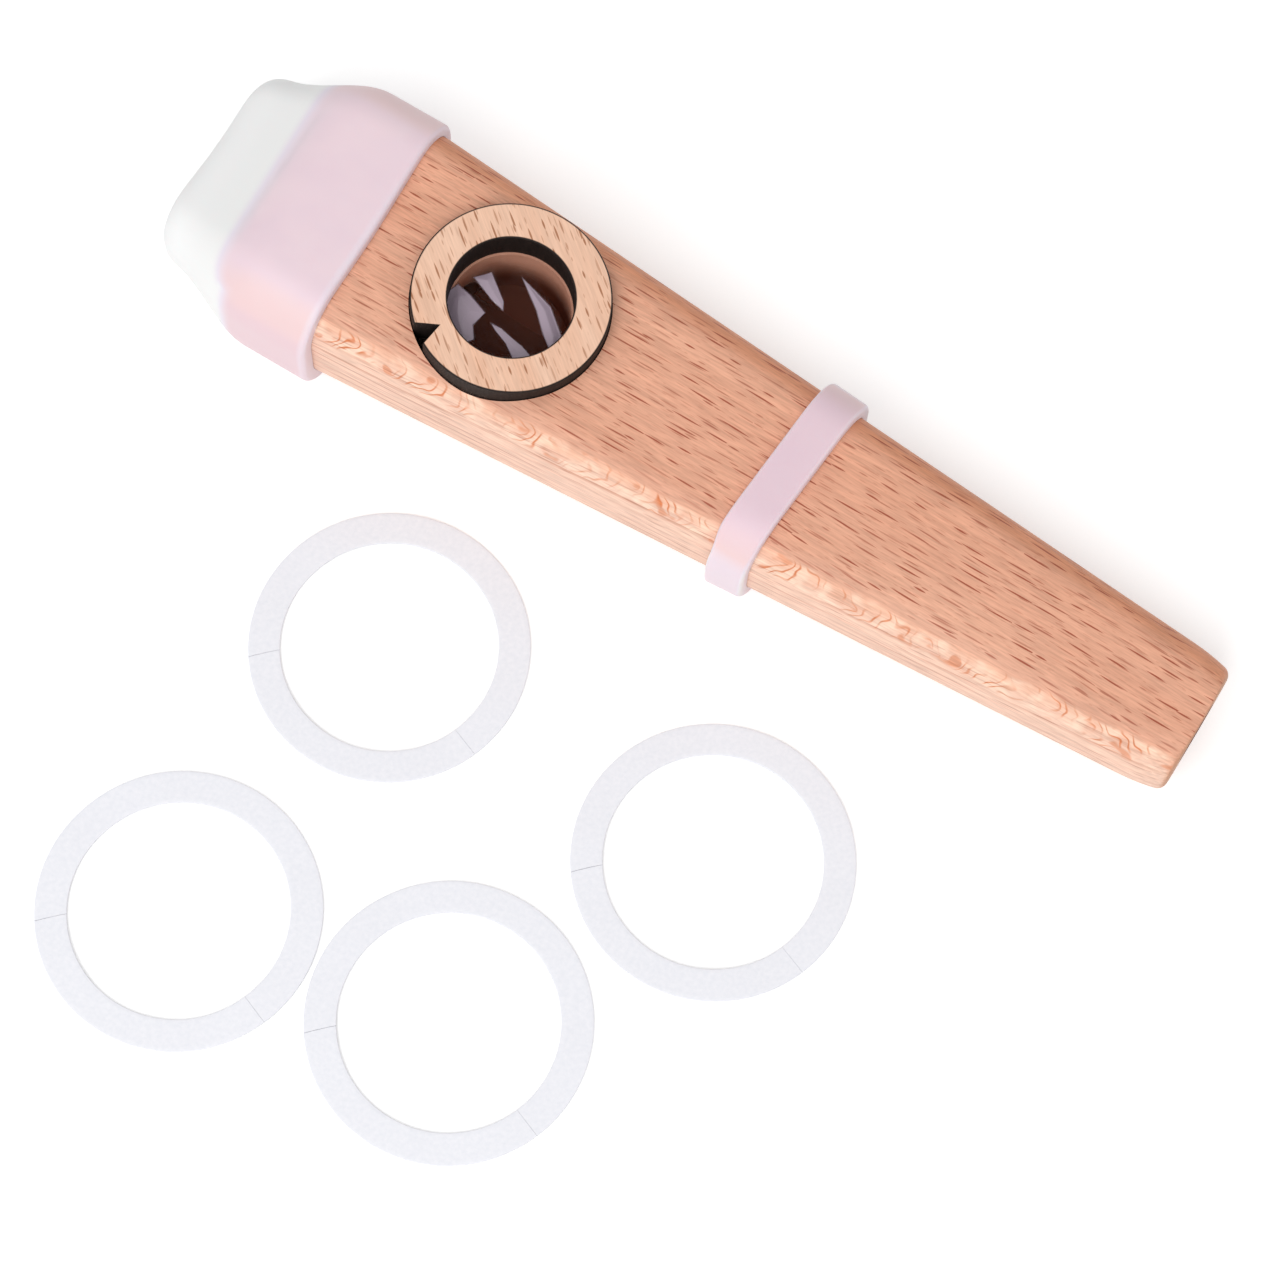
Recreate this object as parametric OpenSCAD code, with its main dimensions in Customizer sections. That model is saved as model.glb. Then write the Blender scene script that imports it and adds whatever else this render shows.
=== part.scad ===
// Wooden kazoo with a soft mouthpiece, a grip band and four spare membranes.
// X runs along the bore from the mouth (-X) to the narrow end (+X), Z is up.
// The origin is on the table, in the middle of the mouthpiece's flat underside.
// Inside the modules x is counted from the wood's mouth end.

/* [Body] */
// Length of the wood
body_len = 117; // [100:1:140]
// Width at the mouth end, where the side tapers meet it
mouth_w = 30.5; // [29:0.5:36]
// Width at the narrow end
exit_w = 15.8; // [14:0.2:20]
// Thickness at the mouth end, where the top's slope meets it
mouth_h = 15.8; // [15:0.2:19]
// Thickness at the narrow end
exit_h = 10.9; // [10:0.1:13]
// Radius of the four long edges
edge_r = 5.2; // [2:0.1:5.4]
// Radius of the upright corners at the mouth end
corner_r = 3; // [1:0.2:4]
// Radius of the upright corners at the narrow end
exit_corner_r = 2; // [1:0.2:4]
// Radius of the sanded edges round both end faces
end_r = 0.8; // [0.3:0.1:1.5]

/* [Air way] */
// Radius of the long bore
bore_r = 3.3; // [2.5:0.1:3.6]
// Radius of the wider bore at the mouth end
mouth_bore_r = 4.5; // [4:0.1:4.9]
// Depth of the wider bore
mouth_bore_len = 15; // [8:1:16]
// Wood left under the long bore
bore_floor_t = 1.9; // [1.5:0.1:2.2]
// Wood left under the wider bore
mouth_floor_t = 2.3; // [2.2:0.1:2.8]
// Wood left under the sound chamber
chamber_floor_t = 3.2; // [2.8:0.1:4]
// Radius of the sound chamber under the membrane
chamber_r = 6.75; // [6:0.05:6.9]

/* [Cap ring] */
// Radius of the wooden ring
ring_r = 11; // [10:0.1:12]
// Radius of the hole that shows the membrane
ring_hole_r = 6.95; // [6.9:0.05:8]
// Thickness of the ring
ring_t = 4.3; // [3.5:0.1:6]
// Distance from the mouth end to the ring's centre
ring_x = 29.9; // [27:0.1:40]
// Depth of the seat that the ring is pressed into
seat_depth = 2.3; // [1.5:0.1:2.6]
// Depth of the prying notch in the ring's rim
notch_depth = 2.5; // [1:0.1:3]
// Width of the prying notch at the rim
notch_w = 2.6; // [1:0.1:4]
// Direction of the notch from the ring's centre, in degrees
notch_angle = -125; // [-180:1:180]

/* [Membrane] */
// Thickness of the clear film
film_t = 0.06; // [0.05:0.01:0.1]
// Height of the film's rim, turned up between ring and wood
film_rim = 1.8; // [0.8:0.1:2]

/* [Mouthpiece] */
// Wall of the silicone over the wood
sleeve_wall = 1.45; // [1.2:0.05:2]
// Length of wood that the mouthpiece covers
cover_len = 13.2; // [11:0.2:16]
// Length of the lip past the wood's end
lip_len = 8.9; // [7.5:0.1:12]
// Width of the lip
lip_w = 24.4; // [22:0.2:26]
// Thickness of the lip
lip_h = 10.8; // [9.6:0.2:12]
// Radius of the lip's edges
lip_edge_r = 4.6; // [4:0.1:4.8]
// Radius round the tip of the lip
tip_r = 2.8; // [1:0.1:3.8]
// Radius of the rim on the wood
rim_r = 0.6; // [0.2:0.1:0.7]
// How far the lip's middle lies above the slot's
lip_rise = 0.3; // [0:0.1:0.8]
// Width of the slot that is hummed into
slot_w = 13; // [9:0.5:14]
// Height of the slot
slot_h = 5; // [4.6:0.1:5.4]

/* [Grip band] */
// Width of the silicone band along the body
band_w = 4.9; // [3:0.1:8]
// Distance from the mouth end to the band's middle
band_x = 65.3; // [50:0.1:90]
// How far the band is pushed askew, in degrees
band_skew = 4; // [0:0.5:6]

/* [Spare membranes] */
// Diameter of the film and of its paper ring
spare_d = 31; // [28:0.2:33]
// Width of the paper ring
paper_w = 3.5; // [2.5:0.1:5]
// Thickness of the paper
paper_t = 0.3; // [0.2:0.05:0.5]
// Width of the slits that part the paper into two arcs
slit_w = 0.15; // [0.1:0.05:0.3]
// Directions of the two slits, in degrees
slit_angles = [215, 339];
// Space between the body and the nearest spare membrane
spare_gap = 5.2; // [2:0.2:12]

/* [Fits] */
// Clearance round the wood in the mouthpiece and the band
sleeve_fit = 0.05; // [0.03:0.01:0.1]
// Clearance on both sides of the film's rim, and under the film
film_fit = 0.03; // [0.02:0.01:0.05]

/* [Hidden] */
wood_z = sleeve_wall + sleeve_fit;
slope = atan((mouth_h - exit_h) / body_len);
cut_over = 1;
least_flat = 0.02;
round_fn = 96;
corner_steps = 9;
end_steps = 5;
tip_steps = 6;
rim_steps = 4;
film_edge_r = ring_r + film_fit + film_t;
seat_r = film_edge_r + film_fit;
chamber_depth = wood_h(ring_x) - seat_depth - chamber_floor_t;
slot_z = wood_z + mouth_floor_t + mouth_bore_r;
lip_z = slot_z + lip_rise;
shoulder_start = 5;
shoulder_end = -7.3;
rest_x = (shoulder_start + cover_len - rim_r) / 2;
band_reach = band_w + mouth_w * tan(band_skew) + cut_over;
shoulder_steps = 10;
spare_count = 4;
spare_hole_d = spare_d - 2 * paper_w;
first_spare_share = 0.213;
spare_place_shares = [[0, 0], [-0.106, -1.194], [0.9, -1.039], [1.381, -0.071]];
spare_names = ["film", "paper_long", "paper_short"];
kazoo_nodes = ["body", "mouthpiece", "membrane", "cap_ring", "grip_band"];
spare_nodes = [for (i = [1:spare_count], part = spare_names) str("spare_", i, "_", part)];

// The wood's width and thickness: parallel under the mouthpiece, then tapering.
function wood_w(x) = mouth_w + (exit_w - mouth_w) * max(x, cover_len) / body_len;
function wood_h(x) = mouth_h + (exit_h - mouth_h) * max(x, cover_len) / body_len;
// How far a quarter round of radius r has drawn in at the distance d from an end.
function drawn_in(r, d) = d < r ? r - sqrt(r * r - (r - d) * (r - d)) : 0;

// A station is [x, half width, height of its bottom, height of its top, edge radius].
// These are its points: a round-cornered rectangle, corner by corner.
function station_points(s) =
    let (r = min(s[4], s[1] - least_flat, (s[3] - s[2]) / 2 - least_flat))
    [for (corner = [0:3], i = [0:corner_steps])
        let (a = 90 * (corner + i / corner_steps))
        let (y = corner == 0 || corner == 3 ? s[1] - r : r - s[1])
        let (z = corner < 2 ? s[3] - r : s[2] + r)
        [s[0], y + r * cos(a), z + r * sin(a)]];

// A closed skin that runs through the points of one station after another.
module loft(stations) {
    ring_n = 4 * (corner_steps + 1);
    last = len(stations) - 1;
    points = [for (s = stations) each station_points(s)];
    sides = [for (k = [0:last - 1], i = [0:ring_n - 1])
        let (a = k * ring_n + i, b = k * ring_n + (i + 1) % ring_n)
        each [[a, a + ring_n, b + ring_n], [a, b + ring_n, b]]];
    first_end = [for (i = [0:ring_n - 1]) i];
    last_end = [for (i = [ring_n - 1:-1:0]) last * ring_n + i];
    polyhedron(points = points, faces = concat(sides, [first_end, last_end]));
}

// A station of the wood at x, grown by a wall or a clearance, at a distance from
// an end whose upright corners, of radius r, and whose edges are rounded.
function wood_station(x, grow, from_end, shift = 0, r = corner_r) =
    let (in_y = drawn_in(r, from_end) - grow, in_z = drawn_in(end_r, from_end) - grow)
    [x + shift, wood_w(x) / 2 - in_y, wood_z + in_z, wood_z + wood_h(x) - in_z, edge_r + grow];

// The stations that round off the mouth end, and those of the narrow end.
function mouth_stations(grow) = [for (i = [end_steps:-1:0])
    let (d = corner_r * (1 - sin(90 * i / end_steps)))
    wood_station(d, grow, d, -grow)];
function exit_stations() = [for (i = [0:end_steps])
    let (d = exit_corner_r * (1 - sin(90 * i / end_steps)))
    wood_station(body_len - d, 0, d, r = exit_corner_r)];

// Puts a thing on the wood's sloping top face, square to it, at the cap ring.
module at_ring() {
    translate([ring_x, 0, wood_z + wood_h(ring_x)])
        rotate([0, slope, 0])
            children();
}

// A round hole along the wood, with wood of the thickness floor_t left under it.
module long_hole(r, floor_t, start, end) {
    translate([start, 0, wood_z + floor_t + r])
        rotate([0, 90, 0])
            cylinder(r = r, h = end - start, $fn = round_fn);
}

// Beech block with the long bore, the mouth bore, the sound chamber and the seat.
module body() {
    color("#d9a27c")
    difference() {
        loft(concat(mouth_stations(0), [wood_station(cover_len, 0, corner_r)], exit_stations()));
        long_hole(bore_r, bore_floor_t, mouth_bore_len - cut_over, body_len + cut_over);
        long_hole(mouth_bore_r, mouth_floor_t, -cut_over, mouth_bore_len);
        at_ring() {
            translate([0, 0, -seat_depth])
                cylinder(r = seat_r, h = seat_depth + 2 * cut_over, $fn = round_fn);
            translate([0, 0, -seat_depth - chamber_depth])
                cylinder(r = chamber_r, h = chamber_depth + cut_over, $fn = round_fn);
        }
    }
}

// Laser cut wooden ring that holds the membrane down, with a notch to pry it out.
module cap_ring() {
    color("#e0bf96")
    at_ring()
        translate([0, 0, film_t + film_fit - seat_depth])
            difference() {
                cylinder(r = ring_r, h = ring_t, $fn = round_fn);
                translate([0, 0, -cut_over])
                    cylinder(r = ring_hole_r, h = ring_t + 2 * cut_over, $fn = round_fn);
                rotate([0, 0, notch_angle])
                    translate([ring_r - notch_depth, 0, -cut_over])
                        linear_extrude(ring_t + 2 * cut_over)
                            notch_outline();
            }
}

// A V with its point inwards and its mouth wider than the notch past the rim.
module notch_outline() {
    reach = notch_depth + cut_over;
    spread = notch_w * reach / notch_depth;
    polygon([[0, 0], [reach, -spread / 2], [reach, spread / 2]]);
}

// Clear film across the chamber, drawn up round the ring as a shallow cup.
module membrane() {
    color("#b9a7b4")
    at_ring()
        translate([0, 0, film_fit / 2 - seat_depth])
            difference() {
                cylinder(r = film_edge_r, h = film_rim, $fn = round_fn);
                translate([0, 0, film_t])
                    cylinder(r = film_edge_r - film_t, h = film_rim, $fn = round_fn);
            }
}

// The mouthpiece's half width, half thickness, height of middle and edge radius.
block_w = wood_w(0) + 2 * wood_z;
block_h = wood_h(0) + 2 * wood_z;
function ease(t) = t * t * (3 - 2 * t);
function shoulder(x) = ease(min(1, max(0, (x - shoulder_end) / (shoulder_start - shoulder_end))));
function between(low, high, t) = low + (high - low) * t;
function skin_station(x, inset) =
    let (t = shoulder(x))
    let (half_h = between(lip_h, block_h, t) / 2 - inset, mid_z = between(lip_z, block_h / 2, t))
    let (r = between(lip_edge_r, edge_r + wood_z, t) - inset)
    [x, between(lip_w, block_w, t) / 2 - inset, mid_z - half_h, mid_z + half_h, r];

// The outer skin's stations, from the rounded tip to the rim on the wood.
tip_stations = [for (i = [tip_steps:-1:0])
    let (a = 90 * i / tip_steps)
    skin_station(tip_r * (1 - sin(a)) - lip_len, tip_r * (1 - cos(a)))];
shoulder_stations = [for (i = [1:shoulder_steps])
    skin_station(between(tip_r - lip_len, shoulder_start, i / shoulder_steps), 0)];
rim_stations = [for (i = [0:rim_steps])
    let (a = 90 * i / rim_steps)
    skin_station(cover_len - rim_r * (1 - sin(a)), rim_r * (1 - cos(a)))];

// Slot with round ends that runs along X.
module lip_slot() {
    translate([-lip_len - cut_over, 0, slot_z])
        rotate([90, 0, 90])
            linear_extrude(lip_len + corner_r + cut_over) {
                square([slot_w - slot_h, slot_h], center = true);
                for (side = [-1, 1])
                    translate([side * (slot_w - slot_h) / 2, 0])
                        circle(d = slot_h, $fn = round_fn);
            }
}

// Silicone mouthpiece: a cap over the wood's end, drawn in to a slotted lip.
module mouthpiece() {
    color("#e8d3dc")
    difference() {
        loft(concat(tip_stations, shoulder_stations, rim_stations));
        loft(concat(mouth_stations(sleeve_fit), [wood_station(cover_len, sleeve_fit, corner_r, cut_over)]));
        lip_slot();
    }
}

// A length of the tapering wood at the band, grown by a wall or a clearance.
module wood_length(length, grow) {
    loft([for (x = [band_x - length / 2, band_x + length / 2]) wood_station(x, grow, corner_r)]);
}

// Silicone band round the wood, cut square and then pushed a little askew.
module grip_band() {
    color("#e8d3dc")
    difference() {
        intersection() {
            wood_length(band_reach, wood_z);
            translate([band_x, 0, 0])
                rotate([0, 0, -band_skew])
                    translate([-band_w / 2, -mouth_w, -cut_over])
                        cube([band_w, 2 * mouth_w, 2 * mouth_h]);
        }
        wood_length(band_reach + cut_over, sleeve_fit);
    }
}

// Puts spare membrane number i on the table beside the body.
module at_spare(i) {
    place = spare_place_shares[i - 1] * spare_d;
    first_x = ring_x + first_spare_share * spare_d;
    first_y = -mouth_w / 2 - spare_gap - spare_d / 2;
    placed()
        translate([first_x + place[0], first_y + place[1], 0])
            children();
}

// Clear disc of film that the paper is stuck to.
module spare_film() {
    color("#e9edf2")
        cylinder(d = spare_d, h = film_t, $fn = round_fn);
}

// One arc of the paper ring, from one slit round to the other.
module spare_paper(start, end) {
    margin = slit_w / (spare_hole_d + spare_d) * 360 / PI;
    color("#efeef2")
        translate([0, 0, film_t])
            rotate([0, 0, start + margin])
                rotate_extrude(angle = end - start - 2 * margin, $fn = round_fn)
                    translate([spare_hole_d / 2, 0])
                        square([paper_w, paper_t]);
}

// Moves the origin from the wood's end to the middle of the flat underside.
module placed() {
    translate([-rest_x, 0, 0])
        children();
}

placed() body();
placed() mouthpiece();
placed() membrane();
placed() cap_ring();
placed() grip_band();
for (i = [1:spare_count]) {
    name = str("spare_", i, "_");
    at_spare(i) spare_film();
    at_spare(i) spare_paper(slit_angles[0], slit_angles[1]);
    at_spare(i) spare_paper(slit_angles[1], slit_angles[0] + 360);
}
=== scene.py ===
"""Beech kazoo: a bored wooden body with a silicone mouthpiece, a cap ring over its
membrane and a silicone grip band, lying beside four spare membranes."""

import bpy
import numpy as np
from mathutils import Matrix


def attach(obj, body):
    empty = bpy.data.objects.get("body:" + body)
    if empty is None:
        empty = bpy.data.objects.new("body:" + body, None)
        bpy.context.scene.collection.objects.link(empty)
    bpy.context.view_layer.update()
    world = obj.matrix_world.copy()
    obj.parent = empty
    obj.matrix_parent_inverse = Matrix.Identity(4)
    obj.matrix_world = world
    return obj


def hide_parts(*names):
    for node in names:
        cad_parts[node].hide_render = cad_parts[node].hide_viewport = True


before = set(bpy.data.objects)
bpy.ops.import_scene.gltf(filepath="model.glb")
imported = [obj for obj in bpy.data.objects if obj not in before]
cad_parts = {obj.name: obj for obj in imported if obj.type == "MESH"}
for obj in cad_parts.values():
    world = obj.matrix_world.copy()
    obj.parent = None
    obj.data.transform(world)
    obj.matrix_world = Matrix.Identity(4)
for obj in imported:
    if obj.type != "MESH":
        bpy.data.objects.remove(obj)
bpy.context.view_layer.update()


# Body
# One block of beech, cut to a taper, bored from both ends and sanded round.
# The growth layers lie flat in it, so the top shows the short ends of the rays
# and the sides show fine straight lines. Oiled, which leaves a satin gloss.

MM = 0.001                      # sizes are in mm, and the scene is in metres
ORIGIN_X = 8.8                  # from the wood's mouth end to the frame's origin
BODY_LEN, COVER_LEN = 117, 13.2   # the block, and as much of it as the mouthpiece covers
MOUTH_W, EXIT_W = 30.5, 15.8    # the taper's widths, drawn on to both ends
MOUTH_H, EXIT_H = 15.8, 10.9
EDGE_R, CORNER_R, END_R = 5.2, 3, 0.8   # its long edges, and the mouth end's corners and rims
EXIT_BEND, EXIT_DROP = 5, 0.55   # the sides bend in by the drop over the narrow end
EXIT_CORNER_R, EXIT_END_R = 0.9, 0.3
LEAST_FLAT = 0.02               # half of the least height left between two edges
WOOD_Z = 1.5                    # the wood lies this high in its silicone sleeves
BORE_R, BORE_Z = 3.3, 6.7
MOUTH_BORE_R, MOUTH_BORE_Z, MOUTH_BORE_LEN = 4.5, 8.3, 15
BORE_CHAMFER = 0.4
RING_X, SEAT_R, SEAT_DEPTH = 29.9, 11.12, 2.3
CHAMBER_R, CHAMBER_FLOOR_Z = 6.75, 4.7
CUT_OVER = 1                    # how far a cutter runs past what it cuts
HUB = 0.25                      # a hub's share of its disc
HUB_R, HUB_EDGE_R = 1, 0.8      # the hubs of the body's ends, within the bores


def wood_width(x):
    """Parallel under the mouthpiece, then falling evenly to the narrow end."""
    return MOUTH_W + (EXIT_W - MOUTH_W) * np.maximum(x, COVER_LEN) / BODY_LEN


def wood_height(x):
    """Parallel under the mouthpiece, then falling evenly to the narrow end."""
    return MOUTH_H + (EXIT_H - MOUTH_H) * np.maximum(x, COVER_LEN) / BODY_LEN


def drawn_in(radius, from_end):
    """How far a quarter round has drawn in at that distance from its end."""
    return radius - np.sqrt(radius ** 2 - np.clip(radius - from_end, 0, radius) ** 2)


def round_box(half_w, low, high, radius, arc=16, side=1):
    """Sections of a rounded rectangle, one a row: (y, z) points round four quarter
    circles, with the straight sides between them cut into equal lengths."""
    half_w, low, high, radius = np.broadcast_arrays(half_w, low, high, radius)
    corner = np.arange(4)
    turn = np.radians(90 * (corner[:, None] + np.linspace(0, 1, arc + 1)))
    centre_y = np.where((corner == 0) | (corner == 3), 1, -1) * (half_w - radius)[:, None]
    centre_z = np.where(corner < 2, (high - radius)[:, None], (low + radius)[:, None])
    quarter = np.stack([centre_y[:, :, None] + radius[:, None, None] * np.cos(turn),
                        centre_z[:, :, None] + radius[:, None, None] * np.sin(turn)], axis=-1)
    share = np.linspace(0, 1, side + 1)[1:-1, None]
    begin, end = quarter[:, :, -1:], np.roll(quarter[:, :, :1], -1, axis=1)
    whole = np.concatenate([quarter, begin + (end - begin) * share], axis=2)
    return whole.reshape(len(half_w), -1, 2)


def along_x(x, sections):
    """Stands each (y, z) section up at its own x, or its points at their own x."""
    x = np.broadcast_to(np.asarray(x, float).reshape(len(sections), -1), sections.shape[:2])
    return np.concatenate([x[:, :, None], sections], axis=2)


def surface(name, rows, joined=False):
    """A closed skin of quads through rows of points, in mm from the wood's mouth end.
    Each row is a loop. The last row joins the first, or else a face closes each end."""
    count, across = rows.shape[:2]
    i, j = np.meshgrid(np.arange(count if joined else count - 1), np.arange(across), indexing="ij")
    after_i, after_j = (i + 1) % count, (j + 1) % across
    quads = np.stack([i * across + j, i * across + after_j,
                      after_i * across + after_j, after_i * across + j], axis=-1)
    faces = quads.reshape(-1, 4).tolist()
    if not joined:
        faces += [list(range(across))[::-1], list(range((count - 1) * across, count * across))]
    points = (rows.reshape(-1, 3) - (ORIGIN_X, 0, 0)) * MM
    mesh = bpy.data.meshes.new(name)
    mesh.from_pydata(points.tolist(), [], faces)
    corners = points[np.array(quads.reshape(-1, 4))]
    outward = np.einsum("ij,ij->i", corners[:, 0], np.cross(corners[:, 1], corners[:, 2]))
    outward += np.einsum("ij,ij->i", corners[:, 0], np.cross(corners[:, 2], corners[:, 3]))
    if outward.sum() < 0:
        mesh.flip_normals()
    mesh.update()
    piece = bpy.data.objects.new(name, mesh)
    bpy.context.scene.collection.objects.link(piece)
    return piece


def smooth(piece, sharpest=35):
    """Shades the piece smooth, but for the edges that turn by more degrees than that."""
    piece.data.shade_smooth()
    piece.data.set_sharp_from_angle(angle=np.radians(sharpest))


def turned(name, centre, axis, along, radius, around=128):
    """A lathe form: circles of each radius at each distance along the axis. A hub in
    each end disc keeps its faces simple when another form cuts through them."""
    axis = np.asarray(axis, float)
    first = np.cross((0, 1, 0), axis)
    first /= np.linalg.norm(first)
    second = np.cross(axis, first)
    turn = np.linspace(0, 2 * np.pi, around, endpoint=False)[None, :, None]
    along = np.array([along[0], *along, along[-1]])[:, None, None]
    radius = np.array([HUB * radius[0], *radius, HUB * radius[-1]])[:, None, None]
    rim = first * np.cos(turn) + second * np.sin(turn)
    return surface(name, np.asarray(centre) + axis * along + rim * radius)


def carve(piece, cutters):
    """Cuts the cutters' shapes out of the piece, whose new faces take their finish."""
    for cutter in cutters:
        cut = piece.modifiers.new("cut", "BOOLEAN")
        cut.object, cut.operation, cut.solver = cutter, "DIFFERENCE", "MANIFOLD"
        cut.material_mode = "TRANSFER"
    carved = piece.evaluated_get(bpy.context.evaluated_depsgraph_get())
    piece.data = bpy.data.meshes.new_from_object(carved)
    piece.modifiers.clear()
    for cutter in cutters:
        bpy.data.objects.remove(cutter)


def paint(code):
    """The linear colour of an sRGB hex code."""
    srgb = np.array([int(code[i:i + 2], 16) / 255 for i in (1, 3, 5)])
    linear = np.where(srgb <= 0.04045, srgb / 12.92, ((srgb + 0.055) / 1.055) ** 2.4)
    return (*linear.tolist(), 1)


def shader_of(material):
    """The inputs of a material's shader."""
    return material.node_tree.nodes["Principled BSDF"].inputs


def finish(name, **sockets):
    """A new material. Its shader's own sockets take the values, as in Base_Color=grey."""
    material = bpy.data.materials.new(name)
    material.use_nodes = True
    for socket, value in sockets.items():
        shader_of(material)[socket.replace("_", " ")].default_value = value
    return material


def add(material, kind, inputs, **settings):
    """Adds a node: settings are its own, inputs are values, nodes or their sockets."""
    new = material.node_tree.nodes.new("ShaderNode" + kind)
    for name, value in settings.items():
        setattr(new, name, value)
    for key, value in inputs.items():
        if isinstance(value, bpy.types.Node):
            value = value.outputs[0]
        if isinstance(value, bpy.types.NodeSocket):
            material.node_tree.links.new(value, new.inputs[key])
        else:
            new.inputs[key].default_value = value
    return new


def dress(material, **nodes):
    """Links each node's first output to a socket of the shader, as in Base_Color=colour."""
    for socket, node in nodes.items():
        material.node_tree.links.new(node.outputs[0], shader_of(material)[socket.replace("_", " ")])


def per_mm(*sizes):
    """The scale at which one unit of a pattern is that many mm long each way."""
    return [1 / (size * MM) for size in sizes]


SHORTEST_SHARE = 0.32           # the shortest fleck's share of the longest
LENS_EDGE = (1.1, 0.6)          # the reach at which a fleck begins, and at which it is full


def ray_flecks(wood, place, spacing, longest, width, faintest):
    """Ends of the rays: one thin lens in each scattered cell, 1 inside and 0 outside.
    A lens is where |across| / half width + (along / half length) squared is under 1.
    The cells' own random colours give each lens its length and its strength."""
    cells = add(wood, "Mapping", {"Vector": place, "Scale": (*per_mm(*spacing), 0)})
    spots = add(wood, "TexVoronoi", {"Vector": cells, "Scale": 1}, voronoi_dimensions="2D")
    off = add(wood, "VectorMath", {0: cells, 1: spots.outputs["Position"]}, operation="SUBTRACT")
    off = add(wood, "SeparateXYZ", {0: off})
    chance = add(wood, "SeparateColor", {0: spots.outputs["Color"]})
    longest_half = longest / spacing[0] / 2
    half_len = add(wood, "MapRange", {0: chance, 3: SHORTEST_SHARE * longest_half, 4: longest_half})
    along = add(wood, "Math", {0: off.outputs["X"], 1: half_len}, operation="DIVIDE")
    along = add(wood, "Math", {0: along, 1: along}, operation="MULTIPLY")
    across = add(wood, "Math", {0: off.outputs["Y"]}, operation="ABSOLUTE")
    reach = add(wood, "Math", {0: across, 1: 2 * spacing[1] / width, 2: along},
                operation="MULTIPLY_ADD")
    lens = add(wood, "MapRange", {0: reach, 1: LENS_EDGE[0], 2: LENS_EDGE[1]},
               interpolation_type="SMOOTHSTEP")
    strength = add(wood, "MapRange", {0: chance.outputs[1], 1: 0, 2: 0.6, 3: faintest, 4: 1})
    return add(wood, "Math", {0: lens, 1: strength}, operation="MULTIPLY")


# Beech: a pale pinkish brown of low contrast, marked by its rays and by thin rings.
BEECH_PALE, BEECH_DEEP, BEECH_FAR_SHADE, BEECH_EDGE_HIGHLIGHT = "#f0ba9e", "#dc9b7d", "#d88b60", "#eeb79a"
BEECH_LAMP_SIDE, BEECH_END, FLECK, LATEWOOD = "#f1cbb6", "#b98560", "#963c1d", "#c48a72"
FIGURE, FIGURE_HIGHLIGHT = "#d07848", "#fde2ca"
LAYER_T = 1.3                   # mm from one growth ring to the next
BOW_GAP, BOW_CURVE = 1.5, 0.6   # mm from one bow to the next, and how strongly they curve
FIGURE_FULL, FIGURE_END = 1.1, 1.9   # mm from the edge's middle to where the bows fade, and end
# Of each kind: the spacing, the longest and the width, in mm, and the strength.
SMALLER_FLECKS = (((4.2, 0.95), 3.3, 0.17, 0.6), ((1.9, 0.55), 1.5, 0.13, 0.25))

beech = finish("oiled_beech", Roughness=0.5, Specular_IOR_Level=0.35)
place = add(beech, "TexCoord", {})
face = add(beech, "SeparateXYZ", {0: place.outputs["Normal"]})
place = place.outputs["Object"]
at = add(beech, "SeparateXYZ", {0: place})
facing = {axis: add(beech, "Math", {0: face.outputs[axis]}, operation="ABSOLUTE") for axis in "XYZ"}
sideways = add(beech, "MapRange", {0: facing["Y"], 1: 0.5, 2: 0.9}, interpolation_type="SMOOTHSTEP")
endways = add(beech, "MapRange", {0: facing["X"], 1: 0.5, 2: 0.95}, interpolation_type="SMOOTHSTEP")
# Browner towards the far side, away from the lamp: partly the wood's tone, partly painted shade.
far_side_shade = add(beech, "MapRange", {0: face.outputs["Y"], 1: 0.12, 2: 0.75, 4: 0.85},
                 interpolation_type="SMOOTHSTEP")
far_half_shade = add(beech, "MapRange", {0: at.outputs["Y"], 1: 0, 2: 4 * MM, 4: 0.1},
                 interpolation_type="SMOOTHSTEP")
far_side_shade = add(beech, "Math", {0: far_side_shade, 1: far_half_shade}, operation="MAXIMUM")
uneven = add(beech, "Mapping", {"Vector": place, "Scale": per_mm(7, 2.5, 2.5)})
uneven = add(beech, "TexNoise", {"Vector": uneven, "Scale": 1, "Detail": 2})
# Paler towards the lamp, on the near side: partly the wood's tone, partly painted highlight.
nearward = add(beech, "Math", {0: uneven, 1: 0.3, 2: face.outputs["Y"]}, operation="MULTIPLY_ADD")
lamp_side_pale = add(beech, "MapRange", {0: nearward, 1: -0.4, 2: -0.75, 4: 0.9},
               interpolation_type="SMOOTHSTEP")
# A paler band along the near rounded edge is painted highlight; the same mask holds the bows.
cut_edge = add(beech, "MapRange", {0: nearward, 1: -0.35, 2: -0.47}, interpolation_type="SMOOTHSTEP")
# Painted shade: faces towards the lamp lose up to a tenth of their base tone.
lamp_side_painted_shade = add(beech, "MapRange", {0: face.outputs["Y"], 1: 0, 2: -0.35, 3: 1, 4: 0.9})
upward = add(beech, "Math", {0: face.outputs["Y"], 1: 0.35, 2: facing["Z"]}, operation="MULTIPLY_ADD")
upward = add(beech, "MapRange", {0: upward, 1: 0.55, 2: 0.85}, interpolation_type="SMOOTHSTEP")

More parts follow.
